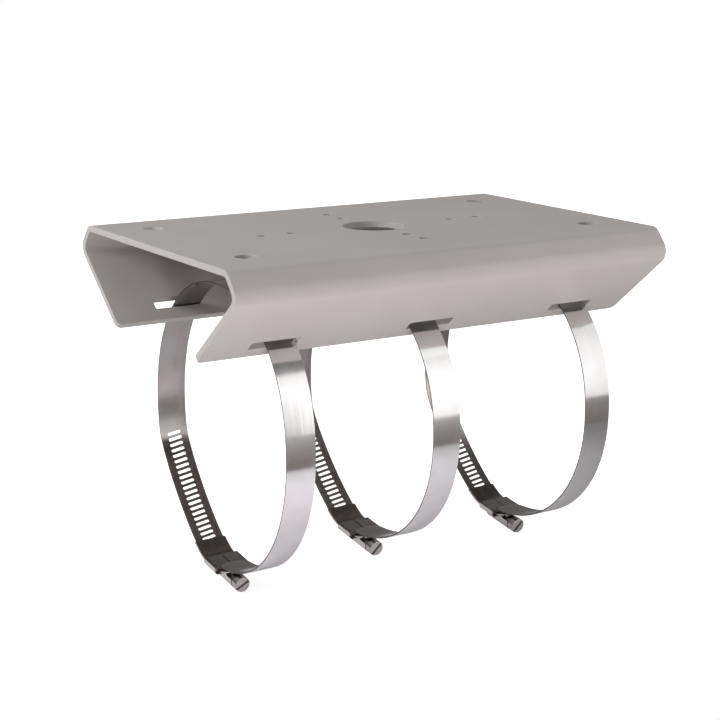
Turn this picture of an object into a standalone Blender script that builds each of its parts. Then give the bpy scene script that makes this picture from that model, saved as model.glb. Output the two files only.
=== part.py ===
"""Camera pole mount bracket: a folded steel channel held on a pole by three worm-drive band clamps.

The frame: +X runs along the pole, +Y to the back and +Z from the pole to the camera plate.
The origin is on the pole's axis, half way along the bracket.
"""
from math import cos, pi, radians, sin, tan

import bmesh
import bpy
import numpy as np
from mathutils import Matrix, Vector

MM = 0.001
GAP = 0.3                   # what two touching pieces keep between their meshes, in mm
PAST = 1.0                  # how far a cutter runs past what it cuts
NEAR = 0.1                  # within this two points are the same place

# Facets for each degree of a bend: the channel's bends show most, the pressed folds are tiny
BEND_FACETS = 0.16
PRESSED_FACETS = 0.045
PRESSED_RADIUS = 3.0        # the largest fold that counts as pressed

# The folded channel, in mm and degrees. Radii are those of the outer surface.
PLATE_LENGTH = 250.0
PLATE_HALF_WIDTH = 72.4     # the flat face, from the middle to where the first bend starts
SHEET = 3.2
FIRST_BEND_RADIUS = 6.6
FIRST_BEND_TURN = 50.0
SHOULDER_LENGTH = 6.6       # the short flat between the two bends of a side
SECOND_BEND_RADIUS = 7.1
SECOND_BEND_TURN = 90.0
LEG_LENGTH = 48.2
LEG_CORNER = 3.0
PLATE_HEIGHT = 95.0         # camera face above the pole's axis

# Holes in the camera plate
CABLE_HOLE = 31.6
CAMERA_HOLE = 10.4
CAMERA_HOLE_FROM_END = 24.0
CAMERA_HOLE_FROM_BEND = 23.5
SMALL_HOLE = 5.0
SMALL_HOLES_X = (48.5, 65.2)
SMALL_HOLES_Y = (31.0, 45.6)

# Slots for the bands, one row in each leg
SLOT_PITCH = 87.9
SLOT_LENGTH = 26.0
SLOT_HEIGHT = 6.3
SLOT_FROM_TIP = 10.45       # leg's tip to the slot's middle, along the leg
SLOT_CORNER = 0.8

# The bands. Each hangs in its slots as a rounded oval.
BAND_WIDTH = 15.9
BAND_THICKNESS = 0.7
OVAL_SQUARENESS = 2.1       # 2 would be a plain ellipse
OVAL_TO = 283.0             # degrees from the lowest point, round the front to the back
BAND_LEAN = 0.35            # the band doesn't cross the leg's sheet quite squarely
BAND_SEAT = GAP + BAND_THICKNESS + BAND_LEAN    # outer face above the slot's lower edge
ROUNDED_END = ((0.0, 0.33), (0.044, 0.62), (0.113, 0.82), (0.214, 0.95), (0.327, 1.0))   # shares of the width

# The three clamps aren't drawn up quite alike: shift along the slot, the oval's widest reach past the
# slots and its half height, and where the screw's driver slot stopped, in degrees
LEFT_SHIFT = 4.4
LEFT_BULGE = 18.27
LEFT_HALF_HEIGHT = 73.3
LEFT_SCREW_TURN = 30.0
MIDDLE_SHIFT = -2.8
MIDDLE_BULGE = 21.67
MIDDLE_HALF_HEIGHT = 69.5
MIDDLE_SCREW_TURN = 48.0
RIGHT_SHIFT = 4.2
RIGHT_BULGE = 22.57
RIGHT_HALF_HEIGHT = 71.7
RIGHT_SCREW_TURN = 48.0
CLAMPS = (
    ("left", LEFT_SHIFT, LEFT_BULGE, LEFT_HALF_HEIGHT, LEFT_SCREW_TURN),
    ("middle", MIDDLE_SHIFT, MIDDLE_BULGE, MIDDLE_HALF_HEIGHT, MIDDLE_SCREW_TURN),
    ("right", RIGHT_SHIFT, RIGHT_BULGE, RIGHT_HALF_HEIGHT, RIGHT_SCREW_TURN),
)

# Perforations, which the worm's thread runs in
PERFORATION_PITCH = 3.1
PERFORATION_WIDTH = 1.6
PERFORATION_LENGTH = 8.0
PERFORATION_SLANT = 9.0     # degrees, the lead of the worm's thread
TAIL_MARGIN = 5.5           # plain band left at the tail's end
TONGUE_END = 1.5            # degrees behind the lowest point

# The housing holds the tail straight, a little tilted to the loop
BLEND_PULL = 0.55           # how far the band keeps its oval's way before it straightens
HOUSING_TILT = 8.0
HOUSING_AT = 6.0            # behind the lowest point
HOUSING_DROP = 0.6          # from the tongue to the housing's feet
HOUSING_SHEET = 0.7
HOUSING_BACK = 7.4          # the housing's reach behind its middle
WALL_FRONT = 5.0            # the side walls' reach in front of it
HOOD_FRONT = 12.0           # the hood over the screw reaches further
HOOD_SLOPE = 4.0            # length over which the walls' front edge runs up to the hood
HOOD_LIFT = 2.0             # opening between the tail and the hood's front
FOOT_SEAM = 0.6             # the two feet nearly meet under the saddle
FOLD_CLEARANCE = 0.3        # inner radius of the pressed folds
TAIL_REACH = 9.0            # the tail's end in front of the housing's middle

# The saddle, a shallow channel between the tail and the housing's feet
SADDLE_SHEET = 0.6
SADDLE_BACK = 21.5          # its reach behind the housing's middle, along the tail

# The worm screw
THREAD_RADIUS = 3.2
THREAD_DEPTH = 0.9
THREAD_CREST = 0.9
THREAD_ROOT = 1.0           # flat at the bottom of the thread
THREAD_COLUMNS = 18
THREAD_PLAY = 0.4           # between the worm and the housing's end walls
END_WALL = 0.9
END_INSET = 0.2             # the end walls sit a little inside the hood's ends
NECK_RADIUS = 2.3
HEAD_RADIUS = 4.1
HEAD_LENGTH = 4.6
HEAD_CHAMFER = 0.5
DRIVER_SLOT_WIDTH = 1.3
DRIVER_SLOT_DEPTH = 1.7

# Heights over the tail's outer face, outward from the pole, in mm
SADDLE_OUTSIDE = -BAND_THICKNESS - GAP
SADDLE_INSIDE = SADDLE_OUTSIDE - SADDLE_SHEET
FOOT_INSIDE = SADDLE_INSIDE - GAP - HOUSING_SHEET
SHOULDER = GAP + HOUSING_SHEET
SCREW_HEIGHT = GAP + THREAD_RADIUS
SADDLE_HALF_WIDTH = BAND_WIDTH / 2 + GAP + SADDLE_SHEET
HOUSING_HALF_WIDTH = SADDLE_HALF_WIDTH + GAP + HOUSING_SHEET


# Helpers

def clear_scene():
    for item in list(bpy.data.objects):
        bpy.data.objects.remove(item, do_unlink=True)


def material(name, color, metallic, roughness):
    """A plain Principled material with the piece's own colour."""
    finish = bpy.data.materials.new(name)
    finish.use_nodes = True
    shader = finish.node_tree.nodes["Principled BSDF"]
    shader.inputs["Base Color"].default_value = (*color, 1.0)
    shader.inputs["Metallic"].default_value = metallic
    shader.inputs["Roughness"].default_value = roughness
    finish.diffuse_color = (*color, 1.0)
    return finish


def mesh_from(bm, name, smooth_angle=30.0):
    """Turn a bmesh in millimetres into a mesh in metres with its faces pointing out."""
    bmesh.ops.recalc_face_normals(bm, faces=bm.faces)
    if bm.calc_volume(signed=True) < 0:
        bmesh.ops.reverse_faces(bm, faces=bm.faces)
    bmesh.ops.scale(bm, vec=(MM, MM, MM), verts=bm.verts)
    mesh = bpy.data.meshes.new(name)
    bm.to_mesh(mesh)
    bm.free()
    mesh.shade_smooth()
    mesh.set_sharp_from_angle(angle=radians(smooth_angle))
    return mesh


def add_object(name, mesh, finish=None, location=(0.0, 0.0, 0.0)):
    item = bpy.data.objects.new(name, mesh)
    bpy.context.collection.objects.link(item)
    item.location = Vector(location) * MM
    if finish is not None and not mesh.materials:
        mesh.materials.append(finish)
    return item


def prism(bm, outline, bottom, top, place=None):
    """Extrude a closed outline of (x, y) points between two heights, then place it."""
    ring = [bm.verts.new((x, y, bottom)) for x, y in outline]
    face = bm.faces.new(ring)
    lifted = bmesh.ops.extrude_face_region(bm, geom=[face])["geom"]
    new_verts = [item for item in lifted if isinstance(item, bmesh.types.BMVert)]
    bmesh.ops.translate(bm, vec=(0.0, 0.0, top - bottom), verts=new_verts)
    if place is not None:
        bmesh.ops.transform(bm, matrix=place, verts=ring + new_verts)
    return ring + new_verts


def circle(radius, sides, center=(0.0, 0.0)):
    return [
        (center[0] + radius * cos(2 * pi * k / sides), center[1] + radius * sin(2 * pi * k / sides))
        for k in range(sides)
    ]


def rounded_rectangle(length, height, radius, sides=5):
    """Outline about the origin, with each corner an arc."""
    points = []
    for quarter, (sx, sy) in enumerate(((1, 1), (-1, 1), (-1, -1), (1, -1))):
        cx, cy = sx * (length / 2 - radius), sy * (height / 2 - radius)
        for k in range(sides + 1):
            turn = pi / 2 * (quarter + k / sides)
            points.append((cx + radius * cos(turn), cy + radius * sin(turn)))
    return points


def folded_half(start, steps, thickness):
    """Outer and inner line of a folded sheet, followed from its middle to one edge.

    Steps are ("flat", length) or ("bend", outer line's radius, turn in degrees). A positive turn
    folds towards the inner side, so the inner line's radius is smaller by the thickness.
    """
    lines = []
    for side in (0.0, thickness):
        x, y, heading = start[0], start[1] - side, 0.0
        points = [(x, y)]
        for step in steps:
            if step[0] == "flat":
                x += step[1] * cos(heading)
                y -= step[1] * sin(heading)
                points.append((x, y))
                continue
            sign = 1.0 if step[2] > 0 else -1.0
            radius = step[1] - sign * side
            facets = PRESSED_FACETS if step[1] <= PRESSED_RADIUS else BEND_FACETS
            count = max(2, round(abs(step[2]) * facets))
            for _ in range(count):
                turn = radians(step[2]) / count
                x += sign * radius * (sin(heading + turn) - sin(heading))
                y -= sign * radius * (cos(heading) - cos(heading + turn))
                heading += turn
                points.append((x, y))
        lines.append(points)
    return lines


def folded_section(start, steps, thickness):
    """Closed outline of a sheet folded the same way on both sides of x = 0."""
    outer, inner = folded_half(start, steps, thickness)
    mirrored = [(-x, y) for x, y in reversed(outer[1:])]
    back = [(-x, y) for x, y in inner[1:]]
    return mirrored + outer + list(reversed(inner)) + back


def cut(item, cutter):
    """Cut a hidden wire cutter out of a piece."""
    cutter.hide_render = True
    cutter.display_type = "WIRE"
    boolean = item.modifiers.new(cutter.name, "BOOLEAN")
    boolean.operation = "DIFFERENCE"
    boolean.solver = "EXACT"
    boolean.object = cutter


def finished_mesh(item, name):
    """The mesh of a piece with its modifiers applied, its cutters removed."""
    view = bpy.context.evaluated_depsgraph_get()
    mesh = bpy.data.meshes.new_from_object(item.evaluated_get(view))
    mesh.name = name
    for used in [item] + [modifier.object for modifier in item.modifiers]:
        bpy.data.objects.remove(used, do_unlink=True)
    return mesh


# The folded channel

SECTION_STEPS = (
    ("flat", PLATE_HALF_WIDTH),
    ("bend", FIRST_BEND_RADIUS, FIRST_BEND_TURN),
    ("flat", SHOULDER_LENGTH),
    ("bend", SECOND_BEND_RADIUS, SECOND_BEND_TURN),
    ("flat", LEG_LENGTH),
)
LEG_SLOPE = radians(180.0 - FIRST_BEND_TURN - SECOND_BEND_TURN)


def leg_frame(distance, side, depth=0.0):
    """Place on a leg: x along the bracket, y up the leg from its tip, z out of its outer face."""
    tip_y, tip_z = folded_half((0.0, PLATE_HEIGHT), SECTION_STEPS, SHEET)[0][-1]
    along = Vector((0.0, side * cos(LEG_SLOPE), sin(LEG_SLOPE)))
    outward = Vector((0.0, side * sin(LEG_SLOPE), -cos(LEG_SLOPE)))
    point = Vector((0.0, side * tip_y, tip_z)) + along * distance - outward * depth
    across = along.cross(outward)
    return Matrix((
        (across.x, along.x, outward.x, point.x),
        (across.y, along.y, outward.y, point.y),
        (across.z, along.z, outward.z, point.z),
        (0.0, 0.0, 0.0, 1.0),
    ))


def build_channel(finish):
    """Extrude the folded section, round the legs' corners and cut the holes and slots."""
    bm = bmesh.new()
    section = folded_section((0.0, PLATE_HEIGHT), SECTION_STEPS, SHEET)
    upright = Matrix(((0, 0, 1, 0), (1, 0, 0, 0), (0, 1, 0, 0), (0, 0, 0, 1)))
    prism(bm, section, -PLATE_LENGTH / 2, PLATE_LENGTH / 2, upright)
    tips = []
    for side in (-1.0, 1.0):
        middle = leg_frame(0.0, side, SHEET / 2).translation
        for edge in bm.edges:
            center = (edge.verts[0].co + edge.verts[1].co) / 2
            at_end = abs(abs(center.x) - PLATE_LENGTH / 2) < NEAR
            if at_end and (Vector((0.0, center.y, center.z)) - middle).length < NEAR:
                tips.append(edge)
    bmesh.ops.bevel(bm, geom=tips, offset=LEG_CORNER, segments=5, profile=0.5, affect="EDGES")
    channel = add_object("channel_bracket", mesh_from(bm, "channel_bracket"), finish)

    bm = bmesh.new()
    reach = 2 * SHEET
    holes = [(CABLE_HOLE, 0.0, 0.0, 64)]
    camera_x, camera_y = PLATE_LENGTH / 2 - CAMERA_HOLE_FROM_END, PLATE_HALF_WIDTH - CAMERA_HOLE_FROM_BEND
    for sx in (-1, 1):
        for sy in (-1, 1):
            holes.append((CAMERA_HOLE, sx * camera_x, sy * camera_y, 32))
        holes.extend((SMALL_HOLE, sx * x, 0.0, 20) for x in SMALL_HOLES_X)
        holes.extend((SMALL_HOLE, 0.0, sx * y, 20) for y in SMALL_HOLES_Y)
    for diameter, x, y, sides in holes:
        prism(bm, circle(diameter / 2, sides, (x, y)), PLATE_HEIGHT - reach, PLATE_HEIGHT + reach)
    slot = rounded_rectangle(SLOT_LENGTH, SLOT_HEIGHT, SLOT_CORNER)
    for side in (-1.0, 1.0):
        for place in (-1, 0, 1):
            shift = Matrix.Translation((place * SLOT_PITCH, 0.0, 0.0))
            prism(bm, slot, -reach, reach, shift @ leg_frame(SLOT_FROM_TIP, side))
    cut(channel, add_object("channel_cutter", mesh_from(bm, "channel_cutter")))
    return channel


# The loop's line, which every piece of a clamp follows

def oval_point(half_width, half_height, degrees):
    """Point (y, z) of an oval at an angle from its lowest point towards the front."""
    side, up = -sin(radians(degrees)), -cos(radians(degrees))
    power = 2.0 / OVAL_SQUARENESS
    return np.array((
        half_width * np.sign(side) * abs(side) ** power,
        half_height * np.sign(up) * abs(up) ** power,
    ))


class Loop:
    """Outer face of a band from its tongue round the front to its tail, measured along the band."""

    def __init__(self, bulge, half_height):
        self.crossing = leg_frame(SLOT_FROM_TIP - SLOT_HEIGHT / 2 + BAND_SEAT, 1.0).translation
        self.half_width, self.half_height = self.crossing.y + bulge, half_height
        tilt = radians(HOUSING_TILT)
        ahead = np.array((-cos(tilt), -sin(tilt)))
        outward = np.array((sin(tilt), -cos(tilt)))
        foot = np.array((HOUSING_AT, HOUSING_AT * tan(tilt) - half_height - HOUSING_DROP))
        middle = foot - outward * FOOT_INSIDE
        oval = np.arange(-TONGUE_END, OVAL_TO, 0.5)
        points = [oval_point(self.half_width, half_height, degrees) for degrees in oval]
        straight = middle - ahead * (HOUSING_BACK + SADDLE_SHEET)
        leaving = points[-1] - points[-2]
        points += self.blend(points[-1], leaving / np.linalg.norm(leaving), straight, ahead)
        points.append(middle + ahead * TAIL_REACH)
        self.points = np.array(points)
        steps = np.diff(self.points, axis=0)
        sizes = np.linalg.norm(steps, axis=1)
        self.lengths = np.concatenate(([0.0], np.cumsum(sizes)))
        self.headings = np.unwrap(np.arctan2(steps[:, 1], steps[:, 0]))
        self.heading_lengths = (self.lengths[1:] + self.lengths[:-1]) / 2
        self.end = self.lengths[-1]
        self.middle = self.end - TAIL_REACH
        self.straight = self.middle - HOUSING_BACK - SADDLE_SHEET
        self.bare = self.lengths[len(oval) - 1]

    @staticmethod
    def blend(start, start_way, finish, finish_way):
        """Smooth curve between two points that leaves and arrives along the given ways."""
        reach = BLEND_PULL * np.linalg.norm(finish - start)
        points = []
        for s in np.linspace(0.0, 1.0, 121)[1:]:
            points.append(
                start * (2 * s ** 3 - 3 * s ** 2 + 1) + finish * (3 * s ** 2 - 2 * s ** 3)
                + start_way * reach * (s ** 3 - 2 * s ** 2 + s) + finish_way * reach * (s ** 3 - s ** 2)
            )
        return points

    def at(self, length, lift=0.0):
        """Point at a length along the band, lifted outward from the loop's line."""
        heading = np.interp(length, self.heading_lengths, self.headings)
        y = np.interp(length, self.lengths, self.points[:, 0])
        z = np.interp(length, self.lengths, self.points[:, 1])
        return Vector((0.0, y - sin(heading) * lift, z + cos(heading) * lift))

    def housing_frame(self):
        """x across the band, y outward from the pole, z along the screw to its head."""
        origin = self.at(self.middle)
        ahead = (self.at(self.end) - origin).normalized()
        outward = Vector((0.0, -ahead.z, ahead.y))
        across = outward.cross(ahead)
        return Matrix((
            (across.x, outward.x, ahead.x, origin.x),
            (across.y, outward.y, ahead.y, origin.y),
            (across.z, outward.z, ahead.z, origin.z),
            (0.0, 0.0, 0.0, 1.0),
        ))

    def center_height(self):
        """Height of the oval's centre when the band rests on the lower edges of its two slots."""
        share = 1.0 - (self.crossing.y / self.half_width) ** OVAL_SQUARENESS
        return self.crossing.z - self.half_height * share ** (1.0 / OVAL_SQUARENESS)


# The band

def band_stations(loop):
    """Cross lines of the band: length along it, x of each vertex, and whether a slot opens there."""
    half = BAND_WIDTH / 2
    tip = [(BAND_WIDTH * reach, (-half * share, half * share)) for reach, share in ROUNDED_END]
    stations = [(reach, xs, False) for reach, xs in tip]
    last = loop.end - TAIL_MARGIN
    holes = int((last - loop.bare) / PERFORATION_PITCH)
    first = last - holes * PERFORATION_PITCH
    plain = np.linspace(tip[-1][0], first, 48)[1:]
    stations.extend((float(length), (-half, half), False) for length in plain)
    inner, end = PERFORATION_LENGTH / 2 - PERFORATION_WIDTH / 2, PERFORATION_LENGTH / 2
    for k in range(holes):
        middle = first + (k + 0.5) * PERFORATION_PITCH
        stations.append((middle - PERFORATION_WIDTH / 2, (-half, -inner, inner, half), True))
        stations.append((middle, (-half, -end, end, half), True))
        stations.append((middle + PERFORATION_WIDTH / 2, (-half, -inner, inner, half), False))
    stations.extend((loop.end - reach, xs, False) for reach, xs in reversed(tip[:-1]))
    return stations


def build_band_mesh(loop):
    """Skin both faces between the cross lines and wall up the edges, ends and perforations."""
    bm = bmesh.new()
    rows = []
    for length, xs, opens in band_stations(loop):
        lead = -tan(radians(PERFORATION_SLANT)) if len(xs) == 4 else 0.0
        row = []
        for lift in (0.0, -BAND_THICKNESS):
            line = []
            for x in xs:
                point = loop.at(length + lead * x, lift)
                line.append(bm.verts.new((x, point.y, point.z)))
            row.append(line)
        rows.append((row, opens))
    for (row, opens), (following, _) in zip(rows, rows[1:]):
        for line, after in zip(row, following):
            if len(line) == 4 and len(after) == 4:
                for k in (0, 1, 2):
                    if not (opens and k == 1):
                        bm.faces.new((line[k], line[k + 1], after[k + 1], after[k]))
            else:
                bm.faces.new(line + list(reversed(after)))
        for k in (0, -1):
            bm.faces.new((row[0][k], row[1][k], following[1][k], following[0][k]))
        if opens:
            for k in (1, 2):
                bm.faces.new((row[0][k], row[1][k], following[1][k], following[0][k]))
    starts = [row for (row, opens), (_, before) in zip(rows[1:], rows) if opens and not before]
    ends = [row for (row, opens), (_, before) in zip(rows[1:], rows) if before and not opens]
    for row in starts + ends:
        bm.faces.new((row[0][1], row[0][2], row[1][2], row[1][1]))
    for row in (rows[0][0], rows[-1][0]):
        bm.faces.new((row[0][0], row[0][-1], row[1][-1], row[1][0]))
    return mesh_from(bm, "band")


# The saddle, housing and screw

def sweep(loop, outline, lengths):
    """Sweep a closed outline of (x, lift) points along the loop."""
    bm = bmesh.new()
    rings = []
    for length in lengths:
        ring = []
        for x, lift in outline:
            point = loop.at(length, lift)
            ring.append(bm.verts.new((x, point.y, point.z)))
        rings.append(ring)
    for ring, following in zip(rings, rings[1:]):
        for k in range(len(ring)):
            after = (k + 1) % len(ring)
            bm.faces.new((ring[k], ring[after], following[after], following[k]))
    bm.faces.new(rings[0])
    bm.faces.new(rings[-1])
    return bm


def build_saddle_mesh(loop):
    """A shallow channel: its floor lies under the tail and its flanges stand beside it."""
    fold = SADDLE_SHEET + FOLD_CLEARANCE
    steps = (
        ("flat", SADDLE_HALF_WIDTH - fold),
        ("bend", fold, 90.0),
        ("flat", -SADDLE_INSIDE - fold),
    )
    section = folded_section((0.0, 0.0), steps, SADDLE_SHEET)
    outline = [(x, SADDLE_INSIDE - y) for x, y in section]
    curved = np.linspace(loop.middle - SADDLE_BACK, loop.straight, 6)
    return mesh_from(sweep(loop, outline, [*curved, loop.middle + WALL_FRONT]), "saddle")


def build_housing_mesh():
    """A hat-shaped fold over the screw, its feet folded under the saddle, with two end walls."""
    hood = THREAD_RADIUS + GAP + HOUSING_SHEET
    fold = HOUSING_SHEET + FOLD_CLEARANCE
    steps = (
        ("bend", hood, 90.0),
        ("flat", SCREW_HEIGHT - SHOULDER - FOLD_CLEARANCE),
        ("bend", FOLD_CLEARANCE, -90.0),
        ("flat", HOUSING_HALF_WIDTH - hood - FOLD_CLEARANCE - fold),
        ("bend", fold, 90.0),
        ("flat", SHOULDER - FOOT_INSIDE - 2 * fold),
        ("bend", fold, 90.0),
        ("flat", HOUSING_HALF_WIDTH - fold - FOOT_SEAM / 2),
    )
    bm = bmesh.new()
    prism(bm, folded_section((0.0, SCREW_HEIGHT + hood), steps, HOUSING_SHEET), -HOUSING_BACK, HOOD_FRONT)
    shell = add_object("housing_shell", mesh_from(bm, "housing_shell"))

    bm = bmesh.new()
    below, past = FOOT_INSIDE - PAST, HOOD_FRONT + PAST
    front = ((WALL_FRONT, below), (past, below), (past, HOOD_LIFT),
             (WALL_FRONT + HOOD_SLOPE, HOOD_LIFT), (WALL_FRONT, 0.0))
    sideways = Matrix(((0, 0, 1, 0), (0, 1, 0, 0), (1, 0, 0, 0), (0, 0, 0, 1)))
    prism(bm, front, -HOUSING_HALF_WIDTH - PAST, HOUSING_HALF_WIDTH + PAST, sideways)
    cut(shell, add_object("front_cutter", mesh_from(bm, "front_cutter")))

    bm = bmesh.new()
    inside = hood - HOUSING_SHEET / 2
    base = SHOULDER - HOUSING_SHEET / 2
    arch = [(x, SCREW_HEIGHT + y) for x, y in circle(inside, 32) if y > -NEAR]
    back, front = -HOUSING_BACK + END_INSET, HOOD_FRONT - END_INSET
    prism(bm, arch + [(-inside, base), (inside, base)], back, back + END_WALL)
    prism(bm, circle(inside, 32, (0.0, SCREW_HEIGHT)), front - END_WALL, front)
    walls = add_object("end_walls", mesh_from(bm, "end_walls"))
    walls.hide_render = True
    walls.display_type = "WIRE"
    union = shell.modifiers.new("end_walls", "BOOLEAN")
    union.operation = "UNION"
    union.solver = "EXACT"
    union.object = walls

    bm = bmesh.new()
    neck_hole = circle(NECK_RADIUS + GAP, 24, (0.0, SCREW_HEIGHT))
    prism(bm, neck_hole, HOOD_FRONT - 2 * END_WALL, HOOD_FRONT + END_WALL)
    cut(shell, add_object("neck_cutter", mesh_from(bm, "neck_cutter")))
    return finished_mesh(shell, "housing")


def build_screw_mesh():
    """Worm and slotted head about the z axis: one skin whose rows climb with the thread."""
    pitch = PERFORATION_PITCH
    root = THREAD_RADIUS - THREAD_DEPTH
    flank = (pitch - THREAD_CREST - THREAD_ROOT) / 2
    rows = []
    low = -HOUSING_BACK + END_INSET + END_WALL + THREAD_PLAY
    high = HOOD_FRONT - END_INSET - END_WALL - THREAD_PLAY
    for turn in range(-1, int((high - low) / pitch) + 2):
        base = low + turn * pitch
        rows.append((base, root))
        rows.append((base + flank, THREAD_RADIUS))
        rows.append((base + flank + THREAD_CREST, THREAD_RADIUS))
        rows.append((base + 2 * flank + THREAD_CREST, root))
    head_at = HOOD_FRONT + GAP
    head_end = head_at + HEAD_LENGTH
    bm = bmesh.new()
    grid = []
    for k in range(THREAD_COLUMNS + 1):
        turn = k / THREAD_COLUMNS
        angle = 2 * pi * turn
        line = []
        for base, radius in rows:
            height = base + pitch * turn
            fade = min(1.0, max(0.0, (height - low) / flank), max(0.0, (high - height) / flank))
            line.append((root + (radius - root) * fade, min(high, max(low, height))))
        line += [(NECK_RADIUS, high), (NECK_RADIUS, head_at), (HEAD_RADIUS, head_at),
                 (HEAD_RADIUS, head_end - HEAD_CHAMFER), (HEAD_RADIUS - HEAD_CHAMFER, head_end)]
        grid.append([bm.verts.new((r * cos(angle), r * sin(angle), z)) for r, z in line])
    for line, after in zip(grid, grid[1:]):
        for k in range(len(line) - 1):
            corners = (line[k], line[k + 1], after[k + 1], after[k])
            bm.faces.new(corners)
    bmesh.ops.remove_doubles(bm, verts=bm.verts, dist=0.001)
    bmesh.ops.holes_fill(bm, edges=[edge for edge in bm.edges if edge.is_boundary])
    worm = add_object("worm", mesh_from(bm, "worm"))

    bm = bmesh.new()
    reach, half = HEAD_RADIUS + PAST, DRIVER_SLOT_WIDTH / 2
    prism(bm, ((-reach, -half), (reach, -half), (reach, half), (-reach, half)),
          head_end - DRIVER_SLOT_DEPTH, head_end + PAST)
    cut(worm, add_object("driver_slot_cutter", mesh_from(bm, "driver_slot_cutter")))
    return finished_mesh(worm, "screw")


def build_clamps():
    """Three clamps, each hung on its own pair of slots."""
    polished = material("polished_stainless_steel", (0.62, 0.61, 0.60), 1.0, 0.22)
    pressed = material("pressed_stainless_steel", (0.42, 0.41, 0.40), 1.0, 0.35)
    housing_mesh, screw_mesh = build_housing_mesh(), build_screw_mesh()
    for index, (name, shift, bulge, half_height, turn) in enumerate(CLAMPS):
        loop = Loop(bulge, half_height)
        center = Vector(((index - 1) * SLOT_PITCH + shift, 0.0, loop.center_height()))
        add_object(f"{name}_clamp_band", build_band_mesh(loop), polished, center)
        add_object(f"{name}_clamp_saddle", build_saddle_mesh(loop), pressed, center)
        housing = add_object(f"{name}_clamp_housing", housing_mesh, pressed)
        screw = add_object(f"{name}_clamp_screw", screw_mesh, polished)
        place = Matrix.Translation(center) @ loop.housing_frame()
        turned = Matrix.Translation((0.0, SCREW_HEIGHT, 0.0)) @ Matrix.Rotation(radians(turn), 4, "Z")
        for item, matrix in ((housing, place), (screw, place @ turned)):
            matrix.translation *= MM
            item.matrix_world = matrix


def main():
    clear_scene()
    build_channel(material("grey_powder_coat", (0.40, 0.39, 0.37), 0.0, 0.45))
    build_clamps()


main()
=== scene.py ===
# %% [markdown]
# # Camera pole mount bracket
# A folded steel channel carries a camera on its flat plate. Three stainless worm-drive clamps hang in
# slots of its sloping legs and go round a pole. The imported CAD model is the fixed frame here, in metres,
# and every piece below is modelled over its own CAD node and stands for it.

# %% Load the frame
from math import cos, pi, radians, sin, tan

import bmesh
import bpy
import numpy as np
from mathutils import Matrix, Vector


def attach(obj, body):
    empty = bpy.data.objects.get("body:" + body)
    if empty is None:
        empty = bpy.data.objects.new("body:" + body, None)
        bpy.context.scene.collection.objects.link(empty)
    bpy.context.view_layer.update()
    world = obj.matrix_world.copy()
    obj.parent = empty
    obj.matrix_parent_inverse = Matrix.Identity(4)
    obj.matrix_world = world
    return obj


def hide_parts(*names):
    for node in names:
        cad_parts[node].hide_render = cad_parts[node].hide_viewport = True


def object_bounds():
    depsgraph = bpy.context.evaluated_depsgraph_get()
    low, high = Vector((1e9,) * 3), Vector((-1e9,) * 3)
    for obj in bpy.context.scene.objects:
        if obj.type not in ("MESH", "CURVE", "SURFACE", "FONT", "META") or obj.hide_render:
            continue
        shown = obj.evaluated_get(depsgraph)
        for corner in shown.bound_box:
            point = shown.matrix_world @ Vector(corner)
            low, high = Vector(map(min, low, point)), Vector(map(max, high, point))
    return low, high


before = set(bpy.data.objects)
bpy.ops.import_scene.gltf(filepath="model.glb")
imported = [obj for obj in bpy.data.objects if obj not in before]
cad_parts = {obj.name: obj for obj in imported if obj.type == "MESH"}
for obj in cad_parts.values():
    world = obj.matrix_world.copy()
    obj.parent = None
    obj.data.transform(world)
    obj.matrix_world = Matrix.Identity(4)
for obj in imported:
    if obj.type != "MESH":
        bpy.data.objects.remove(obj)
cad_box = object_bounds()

MM = 0.001

# %% [markdown]
# ## Camera
# The photograph was taken from the front left, a little above the bracket, with a long lens. The place
# and the lens were worked out from the outlines of the bracket, its holes and the three bands, so a
# render can be laid over the photograph.

# %% Camera
CAMERA_AT = Vector((-452.6, -699.16, 222.32)) * MM
CAMERA_RIGHT = Vector((0.84446, -0.53559, 0.00612))
CAMERA_UP = Vector((0.11898, 0.1987, 0.97281))
CAMERA_BACK = Vector((-0.52224, -0.82077, 0.23152))
LENS_MM = 81.8
SENSOR_WIDTH_MM = 36.0
NEAREST_SEEN = 0.01

bpy.ops.object.camera_add()
camera = bpy.context.object
camera.name = "photo_camera"
turn = Matrix((CAMERA_RIGHT, CAMERA_UP, CAMERA_BACK)).transposed()
camera.matrix_world = Matrix.Translation(CAMERA_AT) @ turn.to_4x4()
camera.data.lens = LENS_MM
camera.data.sensor_width = SENSOR_WIDTH_MM
camera.data.clip_start = NEAREST_SEEN
bpy.context.scene.camera = camera
print("camera lens", round(camera.data.lens, 1), "mm")

# %% [markdown]
# ## Working by hand in edit mode
# Every piece starts as a primitive in millimetres and is shaped in edit mode. These small helpers add a
# primitive with nothing else selected, choose edges or faces by where they are, and apply modifiers.

# %% Start a piece
def pick(piece):
    """Select one object alone and make it the active one."""
    bpy.ops.object.select_all(action="DESELECT")
    piece.select_set(True)
    bpy.context.view_layer.objects.active = piece


def keep_place():
    """Move the selected object's place, turn and scale into its mesh."""
    bpy.ops.object.transform_apply(location=True, rotation=True, scale=True)


def begin(add, name, stretch=(1.0, 1.0, 1.0), **settings):
    """Add one primitive with nothing else selected, stretch it and keep its place in its mesh."""
    bpy.ops.object.select_all(action="DESELECT")
    add(**settings)
    piece = bpy.context.object
    piece.scale = stretch
    keep_place()
    piece.name = piece.data.name = name
    return piece


# %% Choose and pull in edit mode
# How near to a place, in mm, a corner or an edge counts as at it.
NEAR = 0.001


def edit():
    bpy.ops.object.mode_set(mode="EDIT")


def done():
    bpy.ops.object.mode_set(mode="OBJECT")


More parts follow.
